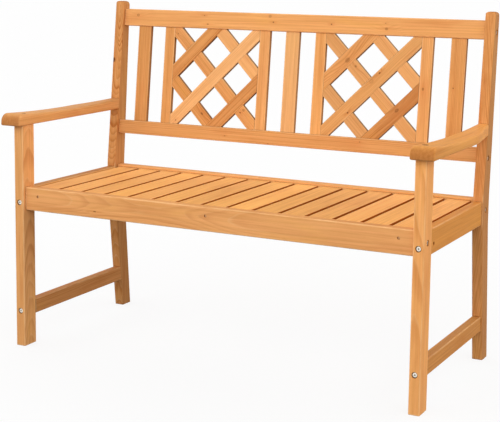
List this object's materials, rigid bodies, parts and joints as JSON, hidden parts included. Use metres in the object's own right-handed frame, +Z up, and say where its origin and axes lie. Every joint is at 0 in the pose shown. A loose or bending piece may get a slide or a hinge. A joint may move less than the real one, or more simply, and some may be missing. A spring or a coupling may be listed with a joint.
{
  "type": "garden bench",
  "caption": "Two-seat wooden garden bench with a slatted seat, dished flat arms, side stretchers and a leaning back of upright slats and diagonal lattice panels.",
  "frame": {"origin": "on the floor under the middle of the bench's bounding box", "axes": "+X along the bench to the right of a person who looks at its front, +Y to the back, +Z up"},
  "size_m": [1.2, 0.5534, 0.916],
  "materials": {
    "frame_wood": "oiled satin, straight and cathedral grain",
    "seat_wood": "oiled satin, straight grain",
    "batten_wood": "oiled, sawn",
    "plain_dowel": "bare beech",
    "zinc_steel": "zinc plated"
  },
  "bodies": {
    "root": {"arm_left": "frame_wood", "arm_right": "frame_wood", "arm_screws": "zinc_steel", "back_bottom_rail": "frame_wood", "back_leg_left": "frame_wood", "back_leg_right": "frame_wood", "back_slat_left": "frame_wood", "back_slat_middle": "frame_wood", "back_slat_right": "frame_wood", "back_top_rail": "frame_wood", "barrel_nuts": "zinc_steel", "batten_screws": "zinc_steel", "dowels": "plain_dowel", "front_apron": "frame_wood", "front_leg_left": "frame_wood", "front_leg_right": "frame_wood", "lattice_left_falling_high": "frame_wood", "lattice_left_falling_low": "frame_wood", "lattice_left_falling_main": "frame_wood", "lattice_left_rising_high": "frame_wood", "lattice_left_rising_low": "frame_wood", "lattice_left_rising_main": "frame_wood", "lattice_pins": "zinc_steel", "lattice_right_falling_high": "frame_wood", "lattice_right_falling_low": "frame_wood", "lattice_right_falling_main": "frame_wood", "lattice_right_rising_high": "frame_wood", "lattice_right_rising_low": "frame_wood", "lattice_right_rising_main": "frame_wood", "leg_bolts": "zinc_steel", "rail_bolts": "zinc_steel", "rear_seat_rail": "frame_wood", "seat_batten_front": "batten_wood", "seat_batten_middle": "batten_wood", "seat_batten_rear": "batten_wood", "seat_slat_01": "seat_wood", "seat_slat_02": "seat_wood", "seat_slat_03": "seat_wood", "seat_slat_04": "seat_wood", "seat_slat_05": "seat_wood", "seat_slat_06": "seat_wood", "seat_slat_07": "seat_wood", "seat_slat_08": "seat_wood", "seat_slat_09": "seat_wood", "seat_slat_10": "seat_wood", "seat_slat_11": "seat_wood", "seat_slat_12": "seat_wood", "seat_slat_13": "seat_wood", "seat_slat_14": "seat_wood", "seat_slat_15": "seat_wood", "side_rail_left": "frame_wood", "side_rail_right": "frame_wood", "slat_screws": "zinc_steel", "stile_left_inner": "frame_wood", "stile_left_outer": "frame_wood", "stile_right_inner": "frame_wood", "stile_right_outer": "frame_wood", "stretcher_left": "frame_wood", "stretcher_right": "frame_wood"}
  },
  "joints": []
}
